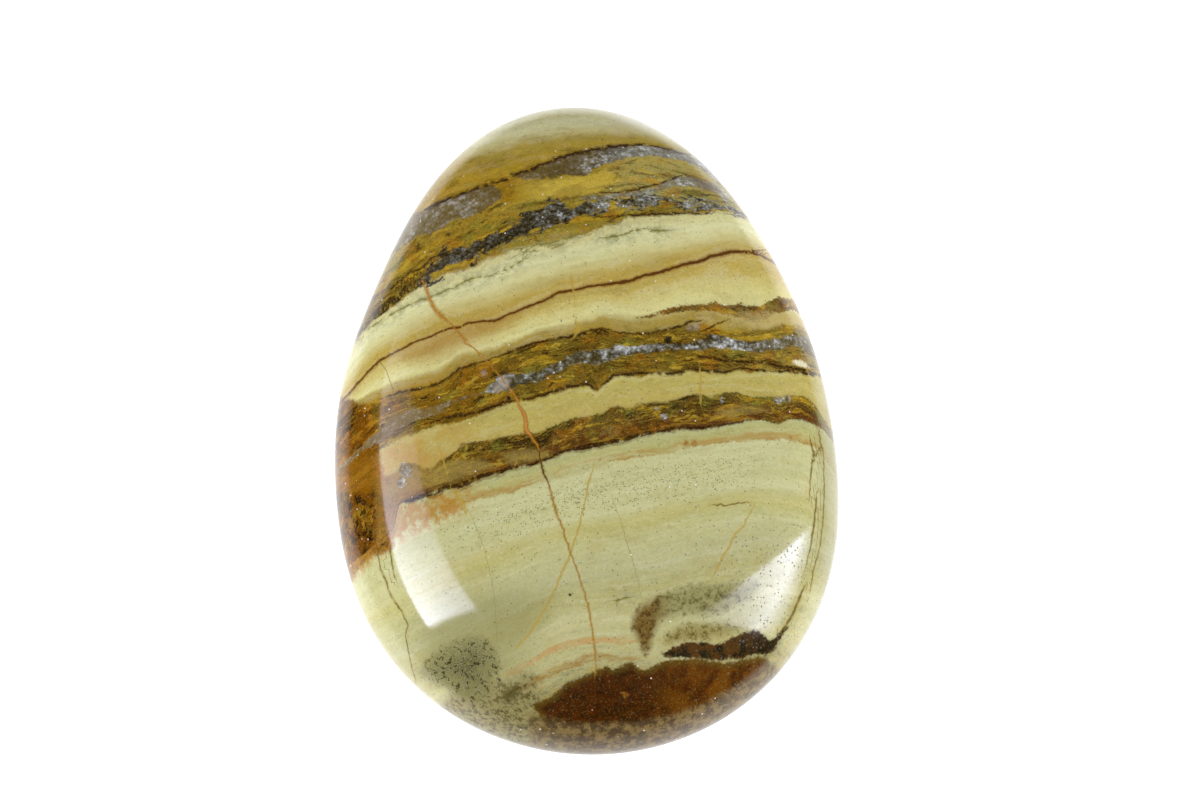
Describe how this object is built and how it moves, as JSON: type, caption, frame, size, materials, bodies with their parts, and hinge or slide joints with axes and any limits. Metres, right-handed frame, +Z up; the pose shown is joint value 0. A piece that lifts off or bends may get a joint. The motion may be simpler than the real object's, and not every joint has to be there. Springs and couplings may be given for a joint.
{
  "type": "river pebble",
  "caption": "Egg-shaped, polished pebble of banded jasper, flattened above and below, that lies on its underside.",
  "frame": {"origin": "middle of the stone's box, on the surface that it lies on", "axes": "+Z up, +Y along the stone towards its narrow end, +X across it"},
  "size_m": [0.05, 0.0692, 0.0227],
  "materials": {
    "polished_jasper": "polished, banded pale green, tan, ochre and dark brown"
  },
  "bodies": {
    "root": {"pebble": "polished_jasper"}
  },
  "joints": []
}
